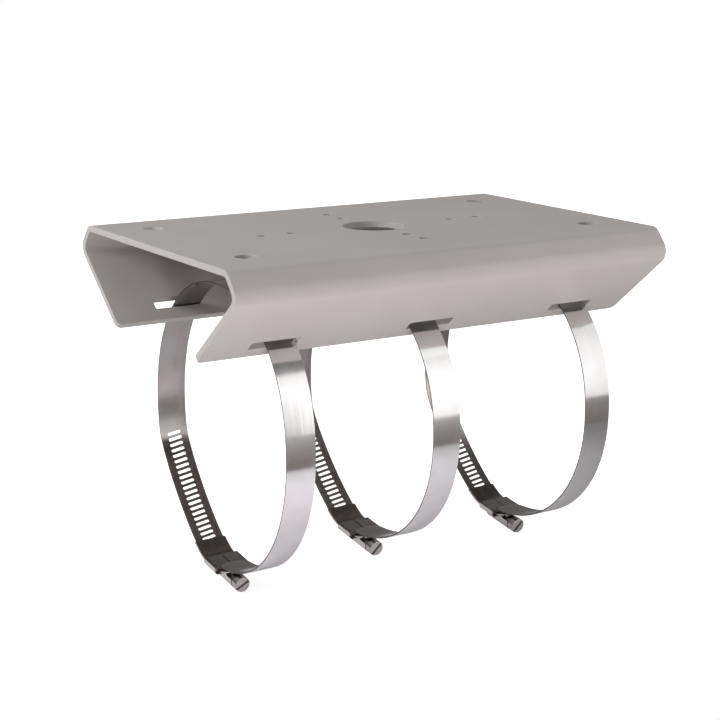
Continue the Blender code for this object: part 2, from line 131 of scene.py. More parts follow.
def choose(kind, test):
    """Select the vertices, edges or faces whose middle passes a test."""
    bpy.ops.mesh.select_mode(type=kind)
    bpy.ops.mesh.select_all(action="DESELECT")
    mesh = bpy.context.object.data
    bm = bmesh.from_edit_mesh(mesh)
    items = {"VERT": bm.verts, "EDGE": bm.edges, "FACE": bm.faces}[kind]
    for item in items:
        corners = [item.co] if kind == "VERT" else [corner.co for corner in item.verts]
        if test(sum(corners, Vector()) / len(corners)):
            item.select_set(True)
    bm.select_flush_mode()
    bmesh.update_edit_mesh(mesh)


def pull(move):
    """Extrude what is selected and move it."""
    bpy.ops.mesh.extrude_region_move(TRANSFORM_OT_translate={"value": move})


def recalculate_normals():
    """Make the active piece's faces agree, because a mirror or a spin can turn some round."""
    edit()
    bpy.ops.mesh.select_all(action="SELECT")
    bpy.ops.mesh.normals_make_consistent(inside=False)
    done()


# %% Modifiers, joins and cuts
def modify(piece, kind, **settings):
    modifier = piece.modifiers.new(kind.lower(), kind)
    for name, value in settings.items():
        setattr(modifier, name, value)


def apply_modifiers(piece):
    pick(piece)
    for modifier in list(piece.modifiers):
        bpy.ops.object.modifier_apply(modifier=modifier.name)


def join(pieces, name):
    """Join several objects into the first one."""
    pick(pieces[0])
    for piece in pieces:
        piece.select_set(True)
    bpy.ops.object.join()
    pieces[0].name = pieces[0].data.name = name
    return pieces[0]


def drill(piece, cutters):
    """Cut joined cutters out of a piece and remove them."""
    tool = join(cutters, "cutter")
    modify(piece, "BOOLEAN", operation="DIFFERENCE", solver="EXACT", object=tool)
    apply_modifiers(piece)
    bpy.data.objects.remove(tool)


# %% Faces, edges and the last placing
def face_out(piece, point_out, toward):
    """Turn an open sheet's normals so that the face nearest a point looks a given way."""
    mesh = piece.data
    nearest = min(mesh.polygons, key=lambda face: (face.center - point_out).length)
    if nearest.normal.dot(toward) < 0:
        mesh.flip_normals()


def ease_edges(piece, width, segments=2, angle=30.0):
    """Round the sharp edges a little, as every real edge is, and keep the flat faces flat."""
    pick(piece)
    bpy.ops.object.shade_smooth_by_angle(angle=radians(angle))
    modify(piece, "BEVEL", width=width, segments=segments, limit_method="ANGLE",
           angle_limit=radians(angle), harden_normals=True, use_clamp_overlap=True)
    apply_modifiers(piece)


def set_down(piece, place=None):
    """Place a finished piece, turn its millimetres into metres and keep all that in its mesh."""
    piece.matrix_world = Matrix.Scale(MM, 4) @ (place or Matrix())
    pick(piece)
    keep_place()


print("helpers ready")

# %% [markdown]
# ## Folded channel
# The real part is one blank of 3.2 mm sheet steel: laser-cut with its holes and slots, folded twice
# along each side and powder coated. It is made here the same way. Half of the plate is a plane, its
# edge is spun round each bend and extruded along each flat, a mirror gives the other half, and
# Solidify gives the sheet its thickness. Spin is used because a press brake also turns the sheet round
# a fixed centre, so each bend comes out as a true arc.

# %% Channel sizes, mm and degrees
PLATE_LENGTH = 250.0
PLATE_HALF_WIDTH = 72.4
PLATE_HEIGHT = 95.0
SHEET = 3.2
FIRST_BEND_RADIUS = 6.6
FIRST_BEND_TURN = 50.0
SHOULDER_LENGTH = 6.6
SECOND_BEND_RADIUS = 7.1
SECOND_BEND_TURN = 90.0
LEG_LENGTH = 48.2
LEG_CORNER = 3.0
CUT_EDGE = 0.45
FIRST_BEND_STEPS = 14
SECOND_BEND_STEPS = 24
LEG_CORNER_STEPS = 8


def fold(at, heading, radius, turned, steps):
    """Spin the selected edge round a bend about X. A positive turn folds down, a negative one up."""
    arm = radius if turned > 0 else -radius
    center = at - arm * Vector((0.0, sin(heading), cos(heading)))
    bpy.ops.mesh.spin(steps=steps, angle=radians(turned), center=center, axis=(1.0, 0.0, 0.0))
    after = heading + radians(turned)
    return center + arm * Vector((0.0, sin(after), cos(after))), after


def run_on(at, heading, length):
    """Extrude the selected edge straight on."""
    move = length * Vector((0.0, cos(heading), -sin(heading)))
    pull(move)
    return at + move


# %% Fold the sheet
channel = begin(bpy.ops.mesh.primitive_plane_add, "channel", (PLATE_LENGTH, PLATE_HALF_WIDTH, 1.0),
                size=1.0, location=(0.0, PLATE_HALF_WIDTH / 2, PLATE_HEIGHT))
at = Vector((0.0, PLATE_HALF_WIDTH, PLATE_HEIGHT))
edit()
choose("EDGE", lambda middle: middle.y > PLATE_HALF_WIDTH - NEAR)
at, heading = fold(at, 0.0, FIRST_BEND_RADIUS, FIRST_BEND_TURN, FIRST_BEND_STEPS)
at = run_on(at, heading, SHOULDER_LENGTH)
at, heading = fold(at, heading, SECOND_BEND_RADIUS, SECOND_BEND_TURN, SECOND_BEND_STEPS)
leg_tip = run_on(at, heading, LEG_LENGTH)
done()
modify(channel, "MIRROR", use_axis=(False, True, False), merge_threshold=NEAR)
apply_modifiers(channel)
recalculate_normals()
face_out(channel, Vector((0.0, 0.0, PLATE_HEIGHT)), Vector((0.0, 0.0, 1.0)))
modify(channel, "SOLIDIFY", thickness=SHEET, offset=-1.0, use_even_offset=True)
apply_modifiers(channel)
print("leg tips at", [round(value, 1) for value in leg_tip])

# %% Round the legs' corners
LEG_SLOPE = pi - radians(FIRST_BEND_TURN + SECOND_BEND_TURN)
TIP_REACH = 0.3
half_sheet = SHEET / 2 * Vector((0.0, -sin(LEG_SLOPE), cos(LEG_SLOPE)))
tip_middle = Vector((0.0, leg_tip.y, leg_tip.z)) + half_sheet


def at_leg_corner(middle):
    beside = Vector((0.0, abs(middle.y), middle.z)) - tip_middle
    return abs(middle.x) > PLATE_LENGTH / 2 - NEAR and beside.length < TIP_REACH


edit()
choose("EDGE", at_leg_corner)
bpy.ops.mesh.bevel(offset=LEG_CORNER, segments=LEG_CORNER_STEPS, affect="EDGES")
done()
print("channel has", len(channel.data.polygons), "faces before drilling")

# %% [markdown]
# The holes are cut as they are on the real blank, in one boolean: the big cable hole, four camera
# holes, eight small fixing holes and three band slots in each leg. Each cutter is a plain primitive
# set where the hole is, and all are joined first so that the mesh is cut only once.

# %% Holes and slots, mm
CABLE_HOLE = 31.6
CAMERA_HOLE = 10.4
CAMERA_HOLE_AT = (101.0, 48.9)
SMALL_HOLE = 5.0
SMALL_HOLES_X = (48.5, 65.2)
SMALL_HOLES_Y = (31.0, 45.6)
SLOT_PITCH = 87.9
SLOT_LENGTH = 26.0
SLOT_HEIGHT = 6.3
SLOT_FROM_TIP = 10.45
SLOT_CORNER = 0.8
SLOT_CORNER_STEPS = 6
CUTTER_DEPTH = 4 * SHEET


def hole_cutter(diameter, x, y, sides=48):
    return begin(bpy.ops.mesh.primitive_cylinder_add, "hole", vertices=sides, radius=diameter / 2,
                 depth=CUTTER_DEPTH, location=(x, y, PLATE_HEIGHT - SHEET / 2))


def leg_place(x, distance, side):
    """A place on a leg: x along the bracket, y up the leg from its tip, z out of its outer face."""
    along = Vector((0.0, side * cos(LEG_SLOPE), sin(LEG_SLOPE)))
    outward = Vector((0.0, side * sin(LEG_SLOPE), -cos(LEG_SLOPE)))
    origin = Vector((x, side * leg_tip.y, leg_tip.z)) + along * distance
    turned = Matrix((along.cross(outward), along, outward)).transposed()
    return Matrix.Translation(origin) @ turned.to_4x4()


def slot_cutter(x, side):
    """A block with its four long edges rounded, set through a leg."""
    slot = begin(bpy.ops.mesh.primitive_cube_add, "slot", (SLOT_LENGTH, SLOT_HEIGHT, CUTTER_DEPTH),
                 size=1.0)
    edit()
    choose("EDGE", lambda middle: abs(middle.x) > NEAR and abs(middle.y) > NEAR)
    bpy.ops.mesh.bevel(offset=SLOT_CORNER, segments=SLOT_CORNER_STEPS, affect="EDGES")
    done()
    slot.matrix_world = leg_place(x, SLOT_FROM_TIP, side)
    return slot


cutters = [hole_cutter(CABLE_HOLE, 0.0, 0.0, sides=96)]
for side_x in (-1, 1):
    for side_y in (-1, 1):
        cutters.append(hole_cutter(CAMERA_HOLE, side_x * CAMERA_HOLE_AT[0], side_y * CAMERA_HOLE_AT[1]))
    cutters += [hole_cutter(SMALL_HOLE, side_x * x, 0.0, sides=32) for x in SMALL_HOLES_X]
    cutters += [hole_cutter(SMALL_HOLE, 0.0, side_x * y, sides=32) for y in SMALL_HOLES_Y]
for place in (-1, 0, 1):
    cutters += [slot_cutter(place * SLOT_PITCH, side) for side in (-1, 1)]
print(len(cutters), "cutters")
drill(channel, cutters)
ease_edges(channel, CUT_EDGE, segments=3)
set_down(channel)
print("channel has", len(channel.data.polygons), "faces")

# %% [markdown]
# ## Line of a band
# Each band is a strip of spring steel bent to a loop. It starts as a tongue at the lowest point, goes
# round the front and the top as a rounded oval, and comes down the back into the screw housing, where
# it runs straight. The same line serves the band, its saddle and its housing, so it is worked out once
# for each clamp and drawn as a curve that flat strips can be wrapped round.

# %% Clamp sizes, mm and degrees
GAP = 0.3
BAND_WIDTH = 15.9
BAND_THICKNESS = 0.7
OVAL_SQUARENESS = 2.1
OVAL_TO = 283.0
BAND_SEAT = 1.35
CLAMPS = (  # name, shift along the bracket, half width, half height, turn of the screw
    ("left", 4.4, 68.8, 73.3, 30.0),
    ("middle", -2.8, 72.2, 69.5, 48.0),
    ("right", 4.2, 73.1, 71.7, 48.0),
)
TONGUE_END = 1.5
BLEND_PULL = 0.55
HOUSING_TILT = 8.0
HOUSING_AT = 6.0
HOUSING_DROP = 0.6
HOUSING_SHEET = 0.7
HOUSING_BACK = 7.4
SADDLE_SHEET = 0.6
TAIL_REACH = 9.0
SADDLE_INSIDE = -BAND_THICKNESS - GAP - SADDLE_SHEET
FOOT_INSIDE = SADDLE_INSIDE - GAP - HOUSING_SHEET
SHOULDER = GAP + HOUSING_SHEET
OVAL_STEP = 0.5
BLEND_STEPS = 120


def oval_point(half_width, half_height, degrees):
    """Point (y, z) of an oval at an angle from its lowest point towards the front."""
    side, up = -sin(radians(degrees)), -cos(radians(degrees))
    power = 2.0 / OVAL_SQUARENESS
    return np.array((
        half_width * np.sign(side) * abs(side) ** power,
        half_height * np.sign(up) * abs(up) ** power,
    ))


def blend(start, start_way, finish, finish_way):
    """Smooth curve between two points that leaves and arrives along the given ways."""
    reach = BLEND_PULL * np.linalg.norm(finish - start)
    return [
        start * (2 * s ** 3 - 3 * s ** 2 + 1) + finish * (3 * s ** 2 - 2 * s ** 3)
        + start_way * reach * (s ** 3 - 2 * s ** 2 + s) + finish_way * reach * (s ** 3 - s ** 2)
        for s in np.linspace(0.0, 1.0, BLEND_STEPS + 1)[1:]
    ]


class Line:
    """Outer face of a band from its tongue round to its tail, as points (y, z)."""

    def __init__(self, half_width, half_height):
        tilt = radians(HOUSING_TILT)
        ahead = np.array((-cos(tilt), -sin(tilt)))
        outward = np.array((sin(tilt), -cos(tilt)))
        foot = np.array((HOUSING_AT, HOUSING_AT * tan(tilt) - half_height - HOUSING_DROP))
        middle = foot - outward * FOOT_INSIDE
        turns = np.arange(-TONGUE_END, OVAL_TO, OVAL_STEP)
        points = [oval_point(half_width, half_height, degrees) for degrees in turns]
        straight = middle - ahead * (HOUSING_BACK + SADDLE_SHEET)
        leaving = points[-1] - points[-2]
        oval_count = len(points)
        points += blend(points[-1], leaving / np.linalg.norm(leaving), straight, ahead)
        points.append(middle + ahead * TAIL_REACH)
        self.points = np.array(points)
        steps = np.linalg.norm(np.diff(self.points, axis=0), axis=1)
        lengths = np.concatenate(([0.0], np.cumsum(steps)))
        self.end = lengths[-1]
        self.middle = self.end - TAIL_REACH
        self.bare = lengths[oval_count - 1]
        self.ahead, self.outward, self.origin = ahead, outward, middle
        self.height = self.center_height(half_width, half_height)

    @staticmethod
    def center_height(half_width, half_height):
        """Height of the oval's centre when the band rests on the lower edges of its two slots."""
        crossing = leg_place(0.0, SLOT_FROM_TIP - SLOT_HEIGHT / 2 + BAND_SEAT, 1.0).translation
        share = 1.0 - (crossing.y / half_width) ** OVAL_SQUARENESS
        return crossing.z - half_height * share ** (1.0 / OVAL_SQUARENESS)

    def curve(self, name):
        """The line as a flat curve with y along X and z along Y, for the Curve modifier."""
        bpy.ops.object.select_all(action="DESELECT")
        bpy.ops.curve.primitive_nurbs_path_add()
        path = bpy.context.object
        path.name = name
        path.data.dimensions = "2D"
        path.data.splines.clear()
        spline = path.data.splines.new("POLY")
        spline.points.add(len(self.points) - 1)
        for point, (y, z) in zip(spline.points, self.points):
            point.co = (y, z, 0.0, 1.0)
        return path


lines = {name: Line(half_width, half_height) for name, _, half_width, half_height, _ in CLAMPS}
print("band lengths, mm:", {name: round(line.end, 1) for name, line in lines.items()})

# %% [markdown]
# ## Bands
# A clamp band is cut flat and perforated flat, with slanted slots that fit the worm's thread, and only
# then rolled into a loop. So one cell of the perforated part is drawn first: a stadium slot inside its
# share of the strip, repeated by an Array. The plain part and the two round ends are joined to it,
# Solidify gives 0.7 mm, and a Curve modifier rolls the strip along its line.

# %% One perforated cell
PERFORATION_PITCH = 3.1
PERFORATION_WIDTH = 1.6
PERFORATION_LENGTH = 8.0
PERFORATION_SLANT = 9.0
TAIL_MARGIN = 5.5
ROUND_END = 5.2
PERFORATION_SIDES = 16
STRIP_STEPS = 110
SHEARED_EDGE = 0.12
ROLLED_ANGLE = 50.0
# A round end in steps: how far along each one lies, the form of its curve and the width left at its tip.
ROUND_STEPS = (0.2, 0.38, 0.54, 0.68, 0.8, 0.89, 0.955, 1.0)
ROUND_POWER = 2.5
TIP_SHARE = 0.14


def perforated_cell():
    """One pitch of flat strip with its slanted slot: X runs along the band and Y across it."""
    cell = begin(bpy.ops.mesh.primitive_circle_add, "cell", vertices=PERFORATION_SIDES,
                 radius=PERFORATION_WIDTH / 2)
    cell.rotation_euler.z = pi / PERFORATION_SIDES
    keep_place()
    half = (PERFORATION_LENGTH - PERFORATION_WIDTH) / 2
    edit()
    for side in (-1.0, 1.0):
        choose("VERT", lambda middle: middle.y * side > 0.0)
        bpy.ops.transform.translate(value=(0.0, side * half, 0.0))
    done()
    cell.rotation_euler.z = -radians(PERFORATION_SLANT)
    keep_place()
    edit()
    bpy.ops.mesh.primitive_plane_add(size=1.0)
    bpy.ops.transform.resize(value=(PERFORATION_PITCH, BAND_WIDTH, 1.0),
                             center_override=(0.0, 0.0, 0.0))
    bpy.ops.mesh.delete(type="ONLY_FACE")
    bpy.ops.mesh.select_all(action="SELECT")
    bpy.ops.mesh.fill(use_beauty=True)
    done()
    return cell


def round_off(way):
    """Extrude the selected end edge to a round tip."""
    width, gone = 1.0, 0.0
    for step in ROUND_STEPS:
        share = max(TIP_SHARE, (1.0 - step ** ROUND_POWER) ** 0.5)
        pull((way * ROUND_END * (step - gone), 0.0, 0.0))
        bpy.ops.transform.resize(value=(1.0, share / width, 1.0), center_override=(0.0, 0.0, 0.0))
        width, gone = share, step


# %% Flat strip, wrapped round its line
def flat_strip(line):
    """The whole band, flat: a round tongue, the plain part, the perforations and the round tail."""
    last = line.end - TAIL_MARGIN
    count = int((last - line.bare) / PERFORATION_PITCH)
    first = last - count * PERFORATION_PITCH
    cell = perforated_cell()
    cell.location.x = first + PERFORATION_PITCH / 2
    modify(cell, "ARRAY", count=count, use_relative_offset=False, use_constant_offset=True,
           constant_offset_displace=(PERFORATION_PITCH, 0.0, 0.0),
           use_merge_vertices=True, merge_threshold=NEAR)
    apply_modifiers(cell)
    plain = begin(bpy.ops.mesh.primitive_grid_add, "strip", (first - ROUND_END, BAND_WIDTH, 1.0),
                  size=1.0, x_subdivisions=STRIP_STEPS, y_subdivisions=1,
                  location=((first + ROUND_END) / 2, 0.0, 0.0))
    strip = join([plain, cell], "strip")
    edit()
    bpy.ops.mesh.select_all(action="SELECT")
    bpy.ops.mesh.remove_doubles(threshold=NEAR)
    choose("EDGE", lambda middle: middle.x < ROUND_END + NEAR)
    round_off(-1.0)
    choose("EDGE", lambda middle: middle.x > last - NEAR)
    pull((TAIL_MARGIN - ROUND_END, 0.0, 0.0))
    round_off(1.0)
    done()
    recalculate_normals()
    face_out(strip, Vector((line.end / 2, 0.0, 0.0)), Vector((0.0, 0.0, 1.0)))
    modify(strip, "SOLIDIFY", thickness=BAND_THICKNESS, offset=-1.0)
    apply_modifiers(strip)
    return strip


def lay_grain(piece):
    """Keep the flat place of every corner as a UV map in metres, so that the grain follows the strip."""
    layer = piece.data.uv_layers.new(name="flat_place")
    for corner in piece.data.loops:
        x, y, _ = piece.data.vertices[corner.vertex_index].co
        layer.data[corner.index].uv = (x * MM, y * MM)


# Turns the line's own X and Y into the bracket's Y and Z.
LINE_PLANE = Matrix(((0, 0, 1, 0), (1, 0, 0, 0), (0, 1, 0, 0), (0, 0, 0, 1)))


def wrap(piece, line):
    """Stand a flat piece on edge and bend it round the line."""
    piece.rotation_euler.x = -pi / 2
    keep_place()
    path = line.curve("line")
    modify(piece, "CURVE", object=path, deform_axis="POS_X")
    apply_modifiers(piece)
    bpy.data.objects.remove(path)


centers = {}
bands = {}
for index, (name, shift, *_) in enumerate(CLAMPS):
    line = lines[name]
    centers[name] = Matrix.Translation(((index - 1) * SLOT_PITCH + shift, 0.0, line.height))
    band = flat_strip(line)
    lay_grain(band)
    wrap(band, line)
    ease_edges(band, SHEARED_EDGE, angle=ROLLED_ANGLE)
    set_down(band, centers[name] @ LINE_PLANE)
    band.name = f"{name}_band"
    bands[name] = band
    print(band.name, len(band.data.polygons), "faces")

# %% [markdown]
# ## Saddles
# Under the tail lies a shallow pressed channel that spreads the screw's pull over the pole. Its floor
# is a strip, its two flanges are folded up by a spin and an extrude, and the same line bends it.

# %% Saddles
SADDLE_BACK = 21.5
WALL_FRONT = 5.0
FOLD_CLEARANCE = 0.3
CURL_STEPS = 6
SADDLE_STEPS = 16
SADDLE_HALF_WIDTH = BAND_WIDTH / 2 + GAP + SADDLE_SHEET


def folded_saddle(line):
    """A flat floor with both flanges folded up, still straight."""
    inner = SADDLE_HALF_WIDTH - SADDLE_SHEET - FOLD_CLEARANCE
    start, end = line.middle - SADDLE_BACK, line.middle + WALL_FRONT
    curl = SADDLE_SHEET + FOLD_CLEARANCE
    saddle = begin(bpy.ops.mesh.primitive_grid_add, "saddle", (end - start, inner, 1.0),
                   size=1.0, x_subdivisions=SADDLE_STEPS, y_subdivisions=1,
                   location=((start + end) / 2, inner / 2, SADDLE_INSIDE))
    edit()
    choose("EDGE", lambda middle: middle.y > inner - NEAR)
    at, heading = fold(Vector((0.0, inner, SADDLE_INSIDE)), 0.0, curl, -90.0, CURL_STEPS)
    run_on(at, heading, -SADDLE_INSIDE - curl)
    done()
    modify(saddle, "MIRROR", use_axis=(False, True, False), merge_threshold=NEAR)
    apply_modifiers(saddle)
    recalculate_normals()
    face_out(saddle, Vector((start, 0.0, SADDLE_INSIDE)), Vector((0.0, 0.0, -1.0)))
    modify(saddle, "SOLIDIFY", thickness=SADDLE_SHEET, offset=-1.0, use_even_offset=True)
    apply_modifiers(saddle)
    return saddle


saddles = {}
for name, line in lines.items():
    saddle = folded_saddle(line)
    lay_grain(saddle)
    wrap(saddle, line)
    ease_edges(saddle, SHEARED_EDGE)
    set_down(saddle, centers[name] @ LINE_PLANE)
    saddle.name = f"{name}_saddle"
    saddles[name] = saddle
print("saddles:", len(saddles))

# %% [markdown]
# ## Screw housings
# The housing is pressed from one sheet: a round hood over the worm, two shoulders, and feet that wrap
# under the saddle and nearly meet. The section is followed from one foot up to the crown with the same
# fold and run_on steps, mirrored, and cut back at the front so that only the hood reaches forward.
# X is the screw's way here, Y is across the band and Z is away from the pole.

# %% Housing
HOOD_FRONT = 12.0
HOOD_SLOPE = 4.0
HOOD_LIFT = 2.0
FOOT_SEAM = 0.6
THREAD_RADIUS = 3.2
SCREW_HEIGHT = GAP + THREAD_RADIUS
END_WALL = 0.9
END_INSET = 0.2
NECK_RADIUS = 2.3
HOUSING_HALF_WIDTH = SADDLE_HALF_WIDTH + GAP + HOUSING_SHEET
HOOD = THREAD_RADIUS + GAP + HOUSING_SHEET
CREASE_STEPS = 4
HOOD_STEPS = 12
CUT_PAST = 1.0


def folded_shell():
    """The section from a foot's seam up to the crown, mirrored."""
    curl = HOUSING_SHEET + FOLD_CLEARANCE
    flat = HOUSING_HALF_WIDTH - curl
    shell = begin(bpy.ops.mesh.primitive_plane_add, "housing",
                  (HOOD_FRONT + HOUSING_BACK, flat - FOOT_SEAM / 2, 1.0), size=1.0,
                  location=((HOOD_FRONT - HOUSING_BACK) / 2, (flat + FOOT_SEAM / 2) / 2, FOOT_INSIDE))
    edit()
    choose("EDGE", lambda middle: middle.y > flat - NEAR)
    at, heading = fold(Vector((0.0, flat, FOOT_INSIDE)), 0.0, curl, -90.0, CURL_STEPS)
    at = run_on(at, heading, SHOULDER - FOOT_INSIDE - 2 * curl)
    at, heading = fold(at, heading, curl, -90.0, CURL_STEPS)
    at = run_on(at, heading, flat - HOOD - FOLD_CLEARANCE)
    at, heading = fold(at, heading, FOLD_CLEARANCE, 90.0, CREASE_STEPS)
    at = run_on(at, heading, SCREW_HEIGHT - SHOULDER - FOLD_CLEARANCE)
    fold(at, heading, HOOD, -90.0, HOOD_STEPS)
    done()
    modify(shell, "MIRROR", use_axis=(False, True, False), merge_threshold=NEAR)
    apply_modifiers(shell)
    recalculate_normals()
    face_out(shell, Vector((0.0, 0.0, SCREW_HEIGHT + HOOD)), Vector((0.0, 0.0, 1.0)))
    modify(shell, "SOLIDIFY", thickness=HOUSING_SHEET, offset=-1.0, use_even_offset=True)
    apply_modifiers(shell)
    return shell


def front_cutter():
    """Everything under the hood in front of the walls, with a sloped upper corner."""
    low, high, far = FOOT_INSIDE - CUT_PAST, HOOD_LIFT, HOOD_FRONT + CUT_PAST
    cutter = begin(bpy.ops.mesh.primitive_cube_add, "front",
                   (far - WALL_FRONT, 2 * (HOUSING_HALF_WIDTH + CUT_PAST), high - low), size=1.0,
                   location=((WALL_FRONT + far) / 2, 0.0, (low + high) / 2))
    edit()
    bpy.ops.mesh.select_all(action="SELECT")
    bpy.ops.mesh.bisect(plane_co=(WALL_FRONT, 0.0, 0.0), plane_no=(-HOOD_LIFT, 0.0, HOOD_SLOPE),
                        use_fill=True, clear_outer=True)
    done()
    return cutter


# %% End walls
WALL_SIDES = 48
WALL_RADIUS = HOOD - HOUSING_SHEET / 2
WALL_BASE = SHOULDER - HOUSING_SHEET / 2


def back_wall():
    """An arched plate: a disc whose lower half is pushed flat."""
    wall = begin(bpy.ops.mesh.primitive_cylinder_add, "back_wall", vertices=WALL_SIDES,
                 radius=WALL_RADIUS, depth=END_WALL, rotation=(0.0, pi / 2, 0.0),
                 location=(-HOUSING_BACK + END_INSET + END_WALL / 2, 0.0, SCREW_HEIGHT))
    edit()
    choose("VERT", lambda middle: middle.z < SCREW_HEIGHT - NEAR)
    bpy.ops.transform.resize(value=(1.0, 1.0, 0.0), center_override=(0.0, 0.0, WALL_BASE))
    done()
    return wall


def front_wall():
    """A disc with the hole for the screw's neck: a ring of faces made by an inset."""
    wall = begin(bpy.ops.mesh.primitive_circle_add, "front_wall", vertices=WALL_SIDES,
                 radius=WALL_RADIUS, fill_type="NGON", rotation=(0.0, pi / 2, 0.0),
                 location=(HOOD_FRONT - END_INSET, 0.0, SCREW_HEIGHT))
    edit()
    bpy.ops.mesh.select_all(action="SELECT")
    bpy.ops.mesh.inset(thickness=WALL_RADIUS - NECK_RADIUS - GAP)
    bpy.ops.mesh.delete(type="FACE")
    done()
    modify(wall, "SOLIDIFY", thickness=END_WALL, offset=-1.0)
    apply_modifiers(wall)
    return wall


shell = folded_shell()
drill(shell, [front_cutter()])
housing = join([shell, back_wall(), front_wall()], "housing")
ease_edges(housing, SHEARED_EDGE)
print("housing has", len(housing.data.polygons), "faces")

# %% [markdown]
# ## Worm screws
# The screw has a short worm that lies under the hood, a thin neck through the front wall and a round
# head with a driver slot. The thread is one small trapezoid swept by a Screw modifier, which is the
# quickest true helix in Blender. The core, neck and head are cylinders stacked on the same axis.

# %% Screw
THREAD_DEPTH = 0.9
THREAD_CREST = 0.9
THREAD_ROOT = 2 * THREAD_CREST
THREAD_SUNK = 0.2
THREAD_RUN_IN = 1.1
THREAD_STEPS = 32
THREAD_PLAY = 0.4
ROD_OVERLAP = 0.1
TURNED_EDGE = 0.1
SMOOTH_ANGLE = 35.0
HEAD_RADIUS = 4.1
HEAD_LENGTH = 4.6
HEAD_CHAMFER = 0.5
DRIVER_SLOT_WIDTH = 1.3
DRIVER_SLOT_DEPTH = 1.7
THREAD_LOW = -HOUSING_BACK + END_INSET + END_WALL + THREAD_PLAY
THREAD_HIGH = HOOD_FRONT - END_INSET - END_WALL - THREAD_PLAY


def turned_rod(name, radius, low, high, sides=40):
    return begin(bpy.ops.mesh.primitive_cylinder_add, name, vertices=sides, radius=radius,
                 depth=high - low, location=(0.0, 0.0, (low + high) / 2))


def helical_ridge():
    """The thread: a small trapezoid swept round and along the axis."""
    turns = int((THREAD_HIGH - THREAD_LOW - THREAD_CREST) / PERFORATION_PITCH)
    root, start = THREAD_RADIUS - THREAD_DEPTH, THREAD_LOW + THREAD_RUN_IN
    ridge = begin(bpy.ops.mesh.primitive_plane_add, "ridge", (THREAD_DEPTH, THREAD_ROOT, 1.0),
                  size=1.0, rotation=(pi / 2, 0.0, 0.0),
                  location=(THREAD_RADIUS - THREAD_DEPTH / 2, 0.0, start))
    edit()
    choose("VERT", lambda middle: middle.x > root + NEAR)
    bpy.ops.transform.resize(value=(1.0, 1.0, THREAD_CREST / THREAD_ROOT),
                             center_override=(0.0, 0.0, start))
    choose("VERT", lambda middle: middle.x < root + NEAR)
    bpy.ops.transform.translate(value=(-THREAD_SUNK, 0.0, 0.0))
    bpy.ops.mesh.select_all(action="SELECT")
    bpy.ops.mesh.delete(type="ONLY_FACE")
    done()
    modify(ridge, "SCREW", axis="Z", angle=2 * pi, screw_offset=PERFORATION_PITCH, iterations=turns,
           steps=THREAD_STEPS, render_steps=THREAD_STEPS)
    apply_modifiers(ridge)
    edit()
    bpy.ops.mesh.select_all(action="SELECT")
    bpy.ops.mesh.fill_holes(sides=4)
    done()
    recalculate_normals()
    return ridge


def slotted_head():
    """A round head with a chamfered face and a slot for a flat driver."""
    low, high = HOOD_FRONT + GAP, HOOD_FRONT + GAP + HEAD_LENGTH
    head = turned_rod("head", HEAD_RADIUS, low, high, sides=64)
    edit()
    choose("FACE", lambda middle: middle.z > high - NEAR)
    bpy.ops.mesh.bevel(offset=HEAD_CHAMFER, segments=3, affect="EDGES")
    done()
    slot = begin(bpy.ops.mesh.primitive_cube_add, "driver_slot",
                 (3 * HEAD_RADIUS, DRIVER_SLOT_WIDTH, 2 * DRIVER_SLOT_DEPTH), size=1.0,
                 location=(0.0, 0.0, high))
    drill(head, [slot])
    return head


head = slotted_head()
ease_edges(head, TURNED_EDGE)
core = turned_rod("core", THREAD_RADIUS - THREAD_DEPTH, THREAD_LOW, THREAD_HIGH)
neck = turned_rod("neck", NECK_RADIUS, THREAD_HIGH - ROD_OVERLAP, HOOD_FRONT + GAP + ROD_OVERLAP)
ease_edges(core, TURNED_EDGE)
screw = join([head, core, neck, helical_ridge()], "screw")
bpy.ops.object.shade_smooth_by_angle(angle=radians(SMOOTH_ANGLE))
print("screw has", len(screw.data.polygons), "faces")

# %% Set a housing and a screw on each clamp
# Turns the housing's own X, along the screw, into its place's Z.
AHEAD_TO_X = Matrix(((0, 1, 0, 0), (0, 0, 1, 0), (1, 0, 0, 0), (0, 0, 0, 1)))


def housing_place(line):
    """x across the band, y outward from the pole, z along the screw to its head."""
    outward = Vector((0.0, *line.outward))
    ahead = Vector((0.0, *line.ahead))
    turned = Matrix((outward.cross(ahead), outward, ahead)).transposed()
    return Matrix.Translation((0.0, *line.origin)) @ turned.to_4x4()


def copy_of(piece, name):
    """A copy with a mesh of its own."""
    twin = piece.copy()
    twin.data = piece.data.copy()
    twin.name = twin.data.name = name
    bpy.context.collection.objects.link(twin)
    return twin


housings = {}
screws = {}
for name, _, _, _, turn in CLAMPS:
    place = centers[name] @ housing_place(lines[name])
    housings[name] = copy_of(housing, f"{name}_housing")
    set_down(housings[name], place @ AHEAD_TO_X)
    screws[name] = copy_of(screw, f"{name}_screw_piece")
    spun = Matrix.Translation((0.0, SCREW_HEIGHT, 0.0)) @ Matrix.Rotation(radians(turn), 4, "Z")
    set_down(screws[name], place @ spun)
bpy.data.objects.remove(housing)
bpy.data.objects.remove(screw)
print("housings:", len(housings), "screws:", len(screws))

# %% [markdown]
# ## Finishes
# Four finishes cover the whole bracket. Colours are written as the sRGB values the eye knows and turned
# to linear light by one function. One helper sets a node's inputs and another adds a node, so that each
# finish below reads as a short recipe.

# %% Colour and node helpers
# A Mix node has a row of sockets for each kind of value. These are its places for colours and numbers.
SHARE, COLOR_A, COLOR_B, MIXED_COLOR = 0, 6, 7, 2
NUMBER_A, NUMBER_B = 2, 3


def linear(code):
    """An sRGB hex colour as linear light."""
    shares = [int(code[k:k + 2], 16) / 255 for k in (1, 3, 5)]
    return (*[c / 12.92 if c <= 0.04045 else ((c + 0.055) / 1.055) ** 2.4 for c in shares], 1.0)


